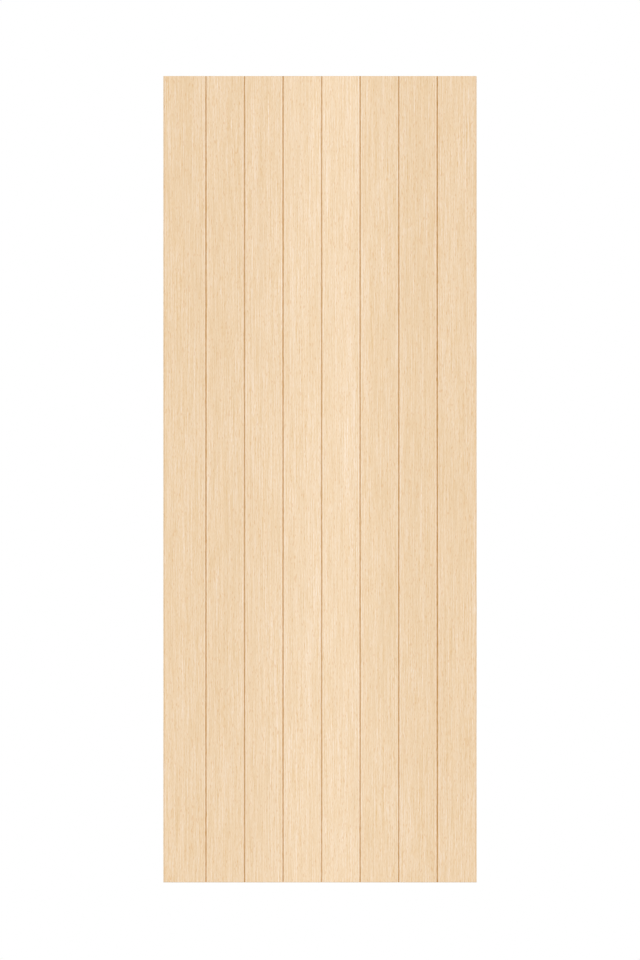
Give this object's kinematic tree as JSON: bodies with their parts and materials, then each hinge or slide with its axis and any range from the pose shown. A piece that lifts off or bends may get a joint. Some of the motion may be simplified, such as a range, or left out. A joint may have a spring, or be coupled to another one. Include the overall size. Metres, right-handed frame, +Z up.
{
  "type": "boarded wooden entrance door leaf",
  "caption": "Flat wooden door leaf with upright V-jointed tongue-and-groove boards on both faces of a tenoned frame and solid core.",
  "frame": {"origin": "on the hinge edge's face, at the foot of the leaf's middle plane", "axes": "+X across the width from the hinge edge to the lock edge, +Y from the front face through to the back face, +Z up"},
  "size_m": [0.8, 0.054, 2.058],
  "materials": {
    "oak_boards": "pale oak, straight grain, matt clear lacquer",
    "oak_frame": "pale oak, planed, matt clear lacquer",
    "core_staves": "softwood staves, planed"
  },
  "bodies": {
    "root": {"hinge_stile": "oak_frame", "lock_stile": "oak_frame", "top_rail": "oak_frame", "lock_rail": "oak_frame", "bottom_rail": "oak_frame", "upper_core": "core_staves", "lower_core": "core_staves", "front_board_1": "oak_boards", "front_board_2": "oak_boards", "front_board_3": "oak_boards", "front_board_4": "oak_boards", "front_board_5": "oak_boards", "front_board_6": "oak_boards", "front_board_7": "oak_boards", "front_board_8": "oak_boards", "back_board_1": "oak_boards", "back_board_2": "oak_boards", "back_board_3": "oak_boards", "back_board_4": "oak_boards", "back_board_5": "oak_boards", "back_board_6": "oak_boards", "back_board_7": "oak_boards", "back_board_8": "oak_boards"}
  },
  "joints": []
}
